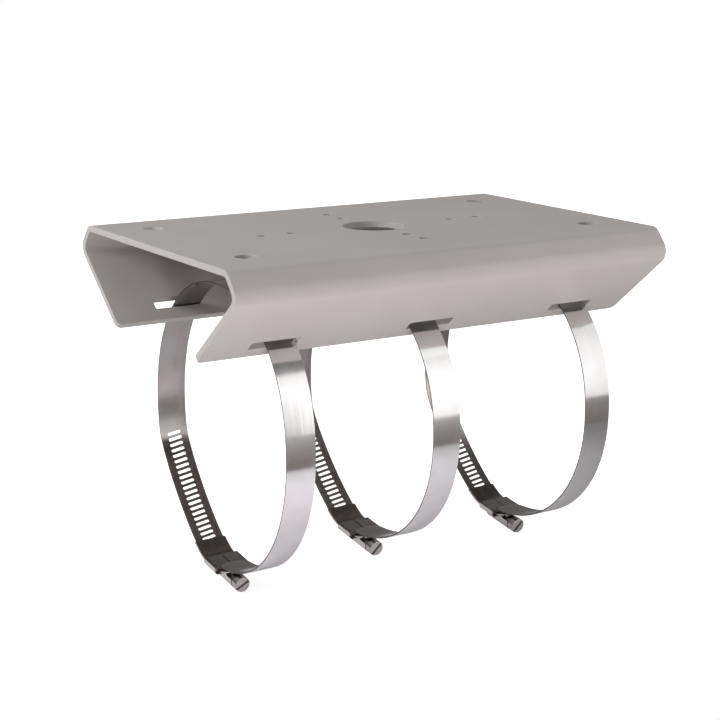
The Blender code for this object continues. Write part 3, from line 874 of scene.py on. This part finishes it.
def plug(tree, node, inputs):
    """Set inputs. Each is a plain value, an output to link from, or a node for its first output."""
    for key, value in inputs.items():
        if isinstance(value, bpy.types.Node):
            value = value.outputs[0]
        if isinstance(value, bpy.types.NodeSocket):
            tree.links.new(value, node.inputs[key])
        else:
            node.inputs[key].default_value = value


def add_node(tree, kind, inputs=None, **settings):
    """Add a node with its settings, its inputs and its links."""
    node = tree.nodes.new(kind)
    for name, value in settings.items():
        setattr(node, name, value)
    plug(tree, node, inputs or {})
    return node


def new_finish(name):
    """A material, its tree and its Principled shader."""
    finish = bpy.data.materials.new(name)
    finish.use_nodes = True
    tree = finish.node_tree
    return finish, tree, tree.nodes["Principled BSDF"]


def dress(pieces, finish):
    """Give pieces a finish in place of any other."""
    for piece in pieces:
        piece.data.materials.clear()
        piece.data.materials.append(finish)
    print(finish.name, "on", len(pieces), "pieces")


# %% [markdown]
# The channel is powder coated: a polyester powder is sprayed dry and baked, which leaves a satin skin
# with a fine orange peel about 1.5 mm across and a faint grain of a few tenths of a millimetre. The peel
# is bump only, and the grain also varies the gloss a little. The warm grey varies by a few percent, as a
# coat of uneven depth does.

# %% Powder coat, waves per metre
COAT_DEPTH_WAVES = 28.0
PEEL_WAVES = 650.0
GRAIN_WAVES = 2600.0
PEEL_DEPTH = 0.08 * MM
GRAIN_DEPTH = 0.03 * MM
SATIN = (0.38, 0.50)

powder_coat, tree, shader = new_finish("satin_polyester_powder_coat")
place = add_node(tree, "ShaderNodeTexCoord").outputs["Object"]
cloud = add_node(tree, "ShaderNodeTexNoise", {"Vector": place, "Scale": COAT_DEPTH_WAVES, "Detail": 3.0})
peel = add_node(tree, "ShaderNodeTexNoise", {"Vector": place, "Scale": PEEL_WAVES, "Detail": 2.0})
grain = add_node(tree, "ShaderNodeTexNoise", {"Vector": place, "Scale": GRAIN_WAVES, "Detail": 1.0})
shade = add_node(tree, "ShaderNodeMix", {
    SHARE: cloud, COLOR_A: linear("#aba6a4"), COLOR_B: linear("#b3aeac")}, data_type="RGBA")
gloss = add_node(tree, "ShaderNodeMapRange", {"Value": grain, "To Min": SATIN[0], "To Max": SATIN[1]})
waves = add_node(tree, "ShaderNodeBump", {"Height": peel, "Strength": 0.25, "Distance": PEEL_DEPTH})
bumps = add_node(tree, "ShaderNodeBump", {
    "Height": grain, "Strength": 0.2, "Distance": GRAIN_DEPTH, "Normal": waves})
plug(tree, shader, {"Base Color": shade.outputs[MIXED_COLOR], "Roughness": gloss, "Normal": bumps})
dress([channel], powder_coat)

# %% [markdown]
# The bands are cold-rolled stainless strip, nearly a mirror on the outer face, with fine rolling lines
# along the strip. The lines are noise stretched along the band in the strip's own flat UV map, about
# 0.25 mm apart. They change the roughness and tilt the surface a very little, so a reflection is drawn
# out along the strip, and a slower sway about 3 mm wide makes it uneven. Handling leaves faint dull
# patches a couple of centimetres long.

# %% Rolled strip, waves per metre along and across
ROLLING_LINES = (18.0, 4000.0, 1.0)
SWAY_LINES = (12.0, 350.0, 1.0)
SMUDGE_WAVES = 60.0
LINE_DEPTH = 0.009 * MM
SWAY_DEPTH = 0.06 * MM

rolled_strip, tree, shader = new_finish("bright_rolled_stainless_strip")
flat = add_node(tree, "ShaderNodeUVMap", uv_map="flat_place")
drawn = add_node(tree, "ShaderNodeMapping", {"Vector": flat, "Scale": ROLLING_LINES})
fine = add_node(tree, "ShaderNodeTexNoise", {"Vector": drawn, "Scale": 1.0, "Detail": 2.0})
streaks = add_node(tree, "ShaderNodeMapping", {"Vector": flat, "Scale": SWAY_LINES})
wide = add_node(tree, "ShaderNodeTexNoise", {"Vector": streaks, "Scale": 1.0, "Detail": 1.0})
smudge = add_node(tree, "ShaderNodeTexNoise", {"Vector": flat, "Scale": SMUDGE_WAVES, "Detail": 3.0})
ridges = add_node(tree, "ShaderNodeBump", {"Height": fine, "Strength": 0.3, "Distance": LINE_DEPTH})
sway = add_node(tree, "ShaderNodeBump", {
    "Height": wide, "Strength": 0.3, "Distance": SWAY_DEPTH, "Normal": ridges})
print("rolling lines every", round(1000 / ROLLING_LINES[1], 2), "mm")

# %% [markdown]
# The inner face is left duller, as the mill rolled it, and its darker tint is painted shade for the inside
# of the loop. A face is inner where its normal points to the pole's axis. The slit edges, whose normals
# point along the pole, are rough, and their dark tint is painted shade.

# %% Inner face and slit edges
SLIT_FACING = 0.8
BRIGHT = (0.09, 0.15)
SMUDGED = (0.45, 0.75)
SMUDGE_DULLER = 0.06
INNER_DULLER = 0.05
SLIT_DULLER = 0.25

place = add_node(tree, "ShaderNodeTexCoord").outputs["Object"]
beside = add_node(tree, "ShaderNodeVectorMath", {0: place, 1: (0.0, 1.0, 1.0)}, operation="MULTIPLY")
true_normal = add_node(tree, "ShaderNodeNewGeometry").outputs["True Normal"]
facing = add_node(tree, "ShaderNodeVectorMath", {0: beside, 1: true_normal}, operation="DOT_PRODUCT")
inner = add_node(tree, "ShaderNodeMath", {0: facing.outputs["Value"], 1: 0.0}, operation="LESS_THAN")
turned = add_node(tree, "ShaderNodeSeparateXYZ", {"Vector": true_normal})
sideways = add_node(tree, "ShaderNodeMath", {0: turned.outputs["X"]}, operation="ABSOLUTE")
slit_shaded_and_rough = add_node(tree, "ShaderNodeMath", {0: sideways, 1: SLIT_FACING}, operation="GREATER_THAN")
outer_tint = add_node(tree, "ShaderNodeMix", {
    SHARE: smudge, COLOR_A: linear("#c8c4c1"), COLOR_B: linear("#e6e5e6")}, data_type="RGBA")
# The darker inner tint is painted shade for the inside of the loop.
inner_painted_shade_tint = add_node(tree, "ShaderNodeMix", {
    SHARE: smudge, COLOR_A: linear("#978c85"), COLOR_B: linear("#c3c0c1")}, data_type="RGBA")
face_tint_with_painted_shade = add_node(tree, "ShaderNodeMix", {
    SHARE: inner, COLOR_A: outer_tint.outputs[MIXED_COLOR], COLOR_B: inner_painted_shade_tint.outputs[MIXED_COLOR],
}, data_type="RGBA")
# The slit edges' dark tint is painted shade; their extra roughness is real.
tint = add_node(tree, "ShaderNodeMix", {
    SHARE: slit_shaded_and_rough, COLOR_A: face_tint_with_painted_shade.outputs[MIXED_COLOR], COLOR_B: linear("#6a605b")}, data_type="RGBA")
dull = add_node(tree, "ShaderNodeMapRange", {"Value": fine, "To Min": BRIGHT[0], "To Max": BRIGHT[1]})
patch = add_node(tree, "ShaderNodeMapRange", {
    "Value": smudge, "From Min": SMUDGED[0], "From Max": SMUDGED[1], "To Max": SMUDGE_DULLER})
handled = add_node(tree, "ShaderNodeMath", {0: dull, 1: patch}, operation="ADD")
face_rough = add_node(tree, "ShaderNodeMath", {
    0: inner, 1: INNER_DULLER, 2: handled}, operation="MULTIPLY_ADD")
rough = add_node(tree, "ShaderNodeMath", {
    0: slit_shaded_and_rough, 1: SLIT_DULLER, 2: face_rough}, operation="MULTIPLY_ADD")
plug(tree, shader, {
    "Base Color": tint.outputs[MIXED_COLOR], "Metallic": 1.0, "Roughness": rough, "Normal": sway})
dress(bands.values(), rolled_strip)

# %% [markdown]
# The saddles and housings are pressed from the same steel but drawn through a die, which leaves the
# surface duller and softly mottled, in spots about 3 mm across. Their darker tint is partly painted shade.
# Their sheared flanks, which face along the pole, get a bright tint that is a painted highlight.

# %% Pressed steel, waves per metre
MOTTLE_WAVES = 350.0
DENT_DEPTH = 0.1 * MM
FLANK_HIGHLIGHT_FACING = (0.6, 0.95)
PRESSED = (0.14, 0.30)

pressed_steel, tree, shader = new_finish("die_pressed_stainless")
place = add_node(tree, "ShaderNodeTexCoord").outputs["Object"]
mottle = add_node(tree, "ShaderNodeTexNoise", {"Vector": place, "Scale": MOTTLE_WAVES, "Detail": 4.0})
true_normal = add_node(tree, "ShaderNodeNewGeometry").outputs["True Normal"]
turned = add_node(tree, "ShaderNodeSeparateXYZ", {"Vector": true_normal})
sideways = add_node(tree, "ShaderNodeMath", {0: turned.outputs["X"]}, operation="ABSOLUTE")
flank_highlight = add_node(tree, "ShaderNodeMapRange", {
    "Value": sideways, "From Min": FLANK_HIGHLIGHT_FACING[0], "From Max": FLANK_HIGHLIGHT_FACING[1],
}, interpolation_type="SMOOTHSTEP")
# The mottle is the metal's own; the darker base is partly painted shade.
face_tint_with_painted_shade = add_node(tree, "ShaderNodeMix", {
    SHARE: mottle, COLOR_A: linear("#67615e"), COLOR_B: linear("#a29993")}, data_type="RGBA")
# The bright tint on the flanks is a painted highlight.
tint = add_node(tree, "ShaderNodeMix", {
    SHARE: flank_highlight, COLOR_A: face_tint_with_painted_shade.outputs[MIXED_COLOR], COLOR_B: linear("#d2cecc")}, data_type="RGBA")
rough = add_node(tree, "ShaderNodeMapRange", {
    "Value": mottle, "To Min": PRESSED[0], "To Max": PRESSED[1]})
dents = add_node(tree, "ShaderNodeBump", {"Height": mottle, "Strength": 0.3, "Distance": DENT_DEPTH})
plug(tree, shader, {
    "Base Color": tint.outputs[MIXED_COLOR], "Metallic": 1.0, "Roughness": rough, "Normal": dents})
dress([*saddles.values(), *housings.values()], pressed_steel)

# %% [markdown]
# The worm screws are zinc plated: a bright warm grey with the fine crystals of the plating, drawn about
# a millimetre across, as coarse as they need to be to show.

# %% Zinc plate, waves per metre
CRYSTAL_WAVES = 900.0
PLATED = (0.12, 0.28)

zinc_plate, tree, shader = new_finish("bright_zinc_plate")
place = add_node(tree, "ShaderNodeTexCoord").outputs["Object"]
crystals = add_node(tree, "ShaderNodeTexNoise", {
    "Vector": place, "Scale": CRYSTAL_WAVES, "Detail": 3.0})
tint = add_node(tree, "ShaderNodeMix", {
    SHARE: crystals, COLOR_A: linear("#a39f9d"), COLOR_B: linear("#c4bfbd")}, data_type="RGBA")
rough = add_node(tree, "ShaderNodeMapRange", {
    "Value": crystals, "To Min": PLATED[0], "To Max": PLATED[1]})
plug(tree, shader, {"Base Color": tint.outputs[MIXED_COLOR], "Metallic": 1.0, "Roughness": rough})
dress(screws.values(), zinc_plate)

# %% [markdown]
# ## Studio
# The object stands on white paper in a pale room, and the eye sees both as white. The bands are nearly
# mirrors, so what they show is set as well: the paper below them, the front wall, and a softbox to the
# right in front. To a reflection, the paper's left half has a painted glow, most a little behind its front
# edge, and its right end is painted darker, a painted shade. Round the object the paper glows less to the
# eye, which leaves room for the soft shadow.

# %% Paper
PAPER_WIDTH = 6.0
PAPER_FRONT = -0.24
PAPER_BACK = 3.0
PAPER_DROP = 0.0005
SHADOW_REACH = (0.2, 0.8)
SHADOW_GLOW = 0.74
PAPER_ROUGHNESS = 0.9
# Each ramp: its axis, the places it runs from and to, the values there, and its form.
PAPER_RAMPS = {
    "left": ("X", -0.02, 0.20, 0.46, 0.0, "SMOOTHSTEP"),
    "open_front": ("Y", 0.0, -0.17, 0.38, 1.0, "SMOOTHSTEP"),
    "rim": ("Y", PAPER_FRONT, -0.17, 0.55, 1.0, "LINEAR"),
    "painted_shade_right_end": ("X", 0.07, 0.22, 0.0, 1.0, "LINEAR"),
}
floor = begin(bpy.ops.mesh.primitive_plane_add, "floor", (PAPER_WIDTH, PAPER_BACK - PAPER_FRONT, 1.0),
              size=1.0, location=(0.0, (PAPER_FRONT + PAPER_BACK) / 2, cad_box[0][2] - PAPER_DROP))
white_paper, tree, shader = new_finish("white_paper")
path = add_node(tree, "ShaderNodeLightPath")
place = add_node(tree, "ShaderNodeTexCoord").outputs["Object"]
split = add_node(tree, "ShaderNodeSeparateXYZ", {"Vector": place})
ramps = {}
for name, (axis, first, last, low, high, form) in PAPER_RAMPS.items():
    ramps[name] = add_node(tree, "ShaderNodeMapRange", {
        "Value": split.outputs[axis], "From Min": first, "From Max": last, "To Min": low, "To Max": high,
    }, interpolation_type=form)
print("paper ramps:", ", ".join(ramps))

# %% What the paper shows to the eye and to a reflection
away = add_node(tree, "ShaderNodeVectorMath", {0: place}, operation="LENGTH")
far = add_node(tree, "ShaderNodeMapRange", {
    "Value": away.outputs["Value"], "From Min": SHADOW_REACH[0], "From Max": SHADOW_REACH[1],
    "To Min": SHADOW_GLOW, "To Max": 1.0})
eye = add_node(tree, "ShaderNodeMath", {0: path.outputs["Is Camera Ray"], 1: far}, operation="MULTIPLY")
mirrored = add_node(tree, "ShaderNodeMath", {
    0: path.outputs["Is Glossy Ray"], 1: path.outputs["Is Transmission Ray"]}, operation="MAXIMUM")
# The glow that reflections see on the paper's left half is painted light.
reflected = mirrored
for name in ("left", "open_front", "rim"):
    reflected = add_node(tree, "ShaderNodeMath", {0: reflected, 1: ramps[name]}, operation="MULTIPLY")
glow = add_node(tree, "ShaderNodeMath", {0: reflected, 1: eye}, operation="ADD")
tone = add_node(tree, "ShaderNodeMix", {
    SHARE: path.outputs["Is Camera Ray"], COLOR_A: linear("#f8ecff"), COLOR_B: linear("#ffffff"),
}, data_type="RGBA")
# Reflections see the paper's right end darker: painted shade.
painted_right_shade = add_node(tree, "ShaderNodeMath", {0: mirrored, 1: ramps["painted_shade_right_end"]}, operation="MULTIPLY")
paper_tone_with_painted_shade = add_node(tree, "ShaderNodeMix", {
    SHARE: painted_right_shade, COLOR_A: linear("#e8e8e8"), COLOR_B: linear("#989698")}, data_type="RGBA")
plug(tree, shader, {"Base Color": paper_tone_with_painted_shade.outputs[MIXED_COLOR], "Roughness": PAPER_ROUGHNESS})
light = add_node(tree, "ShaderNodeEmission", {"Strength": glow, "Color": tone.outputs[MIXED_COLOR]})
both = add_node(tree, "ShaderNodeAddShader", {0: shader, 1: light})
plug(tree, tree.nodes["Material Output"], {"Surface": both})
dress([floor], white_paper)

# %% [markdown]
# The room lights the object a little more from above and in front than from below and behind, and its
# light is a little warm low down. To a reflection it also has a front wall, which fades at its foot, at
# its top and to the right, and a ceiling that is dimmer than the walls. These numbers were set by
# comparing the stripes on the bands with those in the photograph, and are not a real studio's.

# %% Room
ROOM_LOW = 0.19
ROOM_RISE = 0.17
RISE_WAY = (0.0, -0.3, 1.0)
RISE_HEIGHTS = (0.04, 0.42)
CEILING_HEIGHTS = (0.5, 0.75)
CEILING_SHARE = 0.3
WALL_GLOW = 0.45
# Each ramp: the axis of the way a ray looks, where it runs from and to, the values there, and its form.
ROOM_RAMPS = {
    "front": ("Y", 0.1, -0.4, 0.0, 1.0, "SMOOTHSTEP"),
    "foot": ("Z", -0.40, 0.05, 0.0, 1.0, "LINEAR"),
    "right": ("X", 0.66, 0.56, 0.2, 1.0, "LINEAR"),
    "top": ("Z", 0.75, 0.35, 0.0, 1.0, "SMOOTHSTEP"),
}
world = bpy.data.worlds.new("studio")
bpy.context.scene.world = world
world.use_nodes = True
tree = world.node_tree
path = add_node(tree, "ShaderNodeLightPath")
way = add_node(tree, "ShaderNodeTexCoord").outputs["Generated"]
split = add_node(tree, "ShaderNodeSeparateXYZ", {"Vector": way})
mirrored = add_node(tree, "ShaderNodeMath", {
    0: path.outputs["Is Glossy Ray"], 1: path.outputs["Is Transmission Ray"]}, operation="MAXIMUM")
ramps = {}
wall = mirrored
for name, (axis, first, last, low, high, form) in ROOM_RAMPS.items():
    ramps[name] = add_node(tree, "ShaderNodeMapRange", {
        "Value": split.outputs[axis], "From Min": first, "From Max": last, "To Min": low, "To Max": high,
    }, interpolation_type=form)
    wall = add_node(tree, "ShaderNodeMath", {0: wall, 1: ramps[name]}, operation="MULTIPLY")
print("room ramps:", ", ".join(ramps))

# %% Strength and tone of the room
height = add_node(tree, "ShaderNodeVectorMath", {0: way, 1: RISE_WAY}, operation="DOT_PRODUCT")
rise = add_node(tree, "ShaderNodeMapRange", {
    "Value": height.outputs["Value"], "From Min": RISE_HEIGHTS[0], "From Max": RISE_HEIGHTS[1],
}, interpolation_type="SMOOTHSTEP")
lit = add_node(tree, "ShaderNodeMath", {0: rise, 1: ROOM_RISE, 2: ROOM_LOW}, operation="MULTIPLY_ADD")
mirrored_height = add_node(tree, "ShaderNodeMath", {
    0: split.outputs["Z"], 1: mirrored}, operation="MULTIPLY")
ceiling = add_node(tree, "ShaderNodeMapRange", {
    "Value": mirrored_height, "From Min": CEILING_HEIGHTS[0], "From Max": CEILING_HEIGHTS[1],
    "To Min": 1.0, "To Max": CEILING_SHARE}, interpolation_type="SMOOTHSTEP")
plain = add_node(tree, "ShaderNodeMath", {0: lit, 1: ceiling}, operation="MULTIPLY")
room = add_node(tree, "ShaderNodeMath", {0: wall, 1: WALL_GLOW, 2: plain}, operation="MULTIPLY_ADD")
seen = add_node(tree, "ShaderNodeMix", {
    SHARE: path.outputs["Is Camera Ray"], NUMBER_A: room, NUMBER_B: 1.0})
white = add_node(tree, "ShaderNodeMath", {
    0: ramps["foot"], 1: path.outputs["Is Camera Ray"]}, operation="MAXIMUM")
tone = add_node(tree, "ShaderNodeMix", {
    SHARE: white, COLOR_A: linear("#fff0ec"), COLOR_B: linear("#ffffff")}, data_type="RGBA")
plug(tree, tree.nodes["Background"], {"Color": tone.outputs[MIXED_COLOR], "Strength": seen})

# %% [markdown]
# The softbox and a low strip of light on top of it show in the bands as one bright stripe. The other
# lamps only light: a large one overhead, one high and a little behind the left end, and one in front
# below the paper's level, for the legs and the undersides.


# %% Lamps
def soft_lamp(name, at, look_at, size, watts, color=(1.0, 1.0, 1.0), mirrored=False):
    """A flat lamp, wide by high, that looks at a point. Only a mirrored one shows in polished steel."""
    bpy.ops.object.light_add(type="AREA", location=at)
    lamp = bpy.context.object
    lamp.name = name
    lamp.data.shape = "RECTANGLE"
    lamp.data.size, lamp.data.size_y = size
    lamp.data.energy = watts
    lamp.data.color = color
    lamp.visible_glossy = mirrored
    lamp.rotation_euler = (Vector(look_at) - Vector(at)).to_track_quat("-Z", "Y").to_euler()
    print(name, watts, "W")


OBJECT_MIDDLE = (0.0, 0.0, 0.03)
COOL_WHITE = (0.99, 0.995, 1.0)
ROSE_WHITE = (1.0, 0.955, 0.985)
soft_lamp("softbox", (0.434, -0.436, 0.24), (0.0, -0.04, 0.24), (0.58, 0.54), 0.80,
          color=COOL_WHITE, mirrored=True)
soft_lamp("softbox_top", (0.495, -0.367, 0.565), (0.065, 0.03, 0.565), (0.38, 0.12), 0.16, mirrored=True)
soft_lamp("overhead", (0.0, 0.2, 1.5), OBJECT_MIDDLE, (1.2, 1.2), 6.8)
soft_lamp("left", (-1.12, 0.22, 0.58), OBJECT_MIDDLE, (0.5, 0.5), 10.5)
soft_lamp("front_low", (-0.2, -0.85, -0.42), OBJECT_MIDDLE, (0.4, 0.4), 7.1, color=ROSE_WHITE)
bpy.context.scene.view_settings.view_transform = "Standard"

# %% [markdown]
# ## Riding the frame
# Every piece moves with a body of the CAD model and stands for one of its nodes. The screws turn in
# their housings, and all the rest is one body with the channel.

# %% Ride
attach(channel, "bracket")
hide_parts("channel_bracket")
CLAMP_KINDS = (
    (bands, "band", "polished_stainless"),
    (saddles, "saddle", "pressed_stainless"),
    (housings, "housing", "pressed_stainless"),
)
for name in lines:
    for pieces, node, slot in CLAMP_KINDS:
        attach(pieces[name], "bracket")
        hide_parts(f"{name}_clamp_{node}")
    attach(screws[name], f"{name}_screw")
    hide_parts(f"{name}_clamp_screw")
